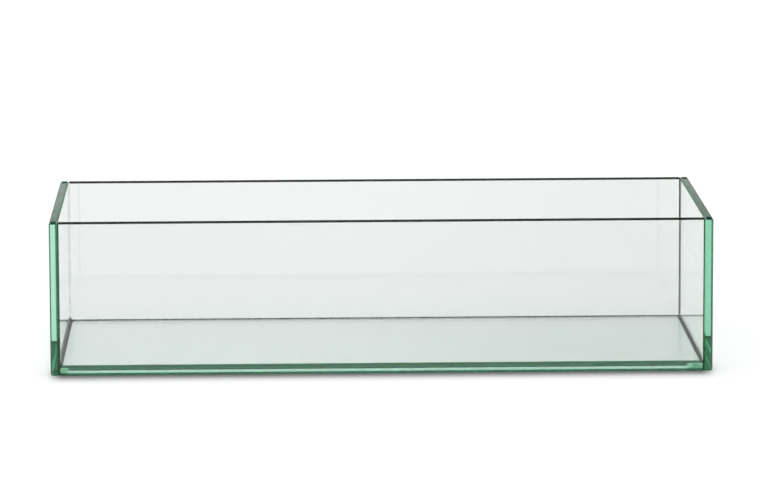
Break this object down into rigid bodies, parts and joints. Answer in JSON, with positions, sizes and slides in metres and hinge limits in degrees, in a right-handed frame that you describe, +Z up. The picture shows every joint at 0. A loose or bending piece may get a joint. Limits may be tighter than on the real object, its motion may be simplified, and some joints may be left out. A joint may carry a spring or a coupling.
{
  "type": "aquarium tank",
  "caption": "Frameless open-topped rectangular glass aquarium tank, long, narrow and shallow, its flat polished-edge sheets bonded with clear silicone.",
  "frame": {"origin": "middle of the underside, at the level of the surface that the tank stands on", "axes": "+Z up, out of the open top; +X along the tank, towards its right end as seen from the front; -Y is the front"},
  "size_m": [0.61, 0.268, 0.142],
  "materials": {
    "glass": "polished float glass, green through its edges",
    "silicone": "clear, satin"
  },
  "bodies": {
    "root": {"base_panel": "glass", "front_panel": "glass", "back_panel": "glass", "left_end_panel": "glass", "right_end_panel": "glass", "front_left_corner_seam": "silicone", "front_right_corner_seam": "silicone", "back_left_corner_seam": "silicone", "back_right_corner_seam": "silicone", "front_base_seam": "silicone", "back_base_seam": "silicone", "left_base_seam": "silicone", "right_base_seam": "silicone", "front_base_bead": "silicone", "back_base_bead": "silicone", "left_base_bead": "silicone", "right_base_bead": "silicone"}
  },
  "joints": []
}
